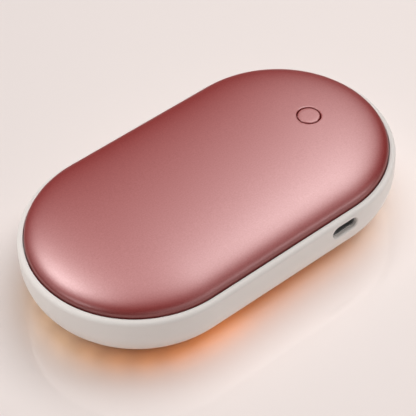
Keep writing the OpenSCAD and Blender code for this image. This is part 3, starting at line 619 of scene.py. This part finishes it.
# %% [markdown]
# The room is dark and soft boxes light the object, so that its gloss has something to show. Light
# linking ties each box to what it may light, as a photographer does with flags. One group lights
# only the rose pieces: boxes behind the object, mirrored in the near shoulder as a long band and in
# the left end as a crescent, and others for the rims. Wide boxes at the sides, behind and above
# light only the ring. The rest light everything but the table, and one lights only the table and
# stays out of its gloss. So the table gets no hard shadows, as in the photograph.

# %% Soft boxes
room = bpy.data.worlds.new("dark_room")
bpy.context.scene.world = room
room.use_nodes = True
room.node_tree.nodes["Background"].inputs["Color"].default_value = (0.02, 0.02, 0.02, 1)
box_distance, table_lamp_distance = 1.2, 0.9

all_but_table = bpy.data.collections.new("all_but_table")
all_but_table.objects.link(table)
all_but_table.collection_objects[0].light_linking.link_state = "EXCLUDE"
only_table = bpy.data.collections.new("only_table")
only_table.objects.link(table)
only_ring = bpy.data.collections.new("only_ring")
only_ring.objects.link(nodes["mid_frame"])
only_rose = bpy.data.collections.new("only_rose")
only_rose.objects.link(dome)
only_rose.objects.link(button)


def lamp(name, place, towards, size, power, colour=(1, 1, 1)):
    """A rectangular light at a place, shining along the direction from towards to the origin."""
    data = bpy.data.lights.new(name, "AREA")
    data.shape, (data.size, data.size_y) = "RECTANGLE", size
    data.energy, data.color = power, colour
    made = bpy.data.objects.new(name, data)
    bpy.context.scene.collection.objects.link(made)
    made.location = place
    made.rotation_euler = towards.to_track_quat("Z", "Y").to_euler()
    return made


def soft_box(name, azimuth, elevation, size, power, lights=all_but_table):
    """A soft box that faces the object from a bearing, all at the same distance."""
    towards = bearing(azimuth, elevation)
    made = lamp(name, towards * box_distance, towards, (size, size), power)
    made.light_linking.receiver_collection = lights
    print(f"{name}: {power} W from {azimuth}, {elevation} degrees")


soft_box("key_right", 119, 57, 0.2, 4.5, only_rose)
soft_box("key_rim", 112, 50, 0.22, 0.35, only_rose)
soft_box("key_low", 124, 38, 0.45, 1.35, only_rose)
soft_box("rim_right", 85, 62, 0.3, 0.65, only_rose)
soft_box("key_left", -150, 60, 0.25, 1.7, only_rose)
soft_box("crescent_high", -176, 62, 0.12, 2.2, only_rose)
soft_box("crescent_low", -166, 56, 0.12, 3.5, only_rose)
soft_box("back_left", -140, 35, 1.0, 2.3)
soft_box("back_low", 130, 18, 1.0, 1.0, only_ring)
soft_box("side_left", -100, 25, 1.0, 6.6, only_ring)
soft_box("front_low", -10, 20, 1.0, 2.4)
soft_box("front_right", 30, 20, 1.0, 2.8)
soft_box("side_right", 70, 20, 1.0, 4.8, only_ring)
soft_box("front_high", 45, 55, 0.4, 0.6)
soft_box("glint", 40, 28, 0.3, 1.1, only_rose)
soft_box("rim_left", -95, 28, 0.5, 2.6, only_rose)
soft_box("over_ring", 170, 65, 1.0, 10.0, only_ring)
above = bearing(95, 76)
over_table = lamp("over_table", table_lamp_distance * above, above, (1, 1), 13.0)
over_table.light_linking.receiver_collection = only_table
over_table.visible_glossy = False

# %% [markdown]
# The photograph has an orange glow on the table under the near side, as if the sole shone. Two rows
# of small orange lamps under the curve of the ring give it. It is brightest a little left of the
# middle, and toward both ends it grows wider and paler. The lamps belong to the set, not to the
# object.

# %% Glow below
def under_the_ring(along, radius):
    """Point of the stadium of that radius, counted in metres along the near side from its middle."""
    if abs(along) <= end_x:
        return Vector((along, -radius, 0))
    side = math.copysign(1, along)
    turn = (abs(along) - end_x) / radius
    return Vector((side * (end_x + radius * math.sin(turn)), -radius * math.cos(turn), 0))


stations, spacing, brightest = range(-12, 9), 8.5 * mm, -15 * mm
rows = ((28.4 * mm, 4.2 * mm, 0.65), (30.6 * mm, 6.2 * mm, 1.3))  # radius, height, part of power
core, core_width, fade_width, paling_width = 0.25, 25 * mm, 90 * mm, 55 * mm
right_side, left_side = (0.56, 0.45, 0.35), (0.9, 0.75, 0.36)  # level, rise of it, paling
full_power, row_depth, green, blue = 0.000118, 2 * mm, 0.335, 0.05
for i in stations:
    away = i * spacing - brightest
    reach = min(abs(away) / paling_width, 1) ** 2
    level, more, pale = right_side if away > 0 else left_side
    share = core * math.exp(-(away / core_width) ** 2)
    share += level * (1 + more * reach) * math.exp(-(away / fade_width) ** 4)
    colour = (1, green + pale * reach, blue + pale * reach)
    for radius, height, part in rows:
        place = under_the_ring(i * spacing, radius) + Vector((0, 0, height))
        glow = lamp(f"glow_{i}_{round(radius / mm)}", place, Vector((0, 0, 1)),
                    (spacing, row_depth), full_power * share * part, colour)
        glow.visible_glossy = False
print(len(stations), "glow stations")

# %% [markdown]
# Standard colours keep the pale set pale.

# %% Finish
bpy.context.scene.view_settings.view_transform = "Standard"
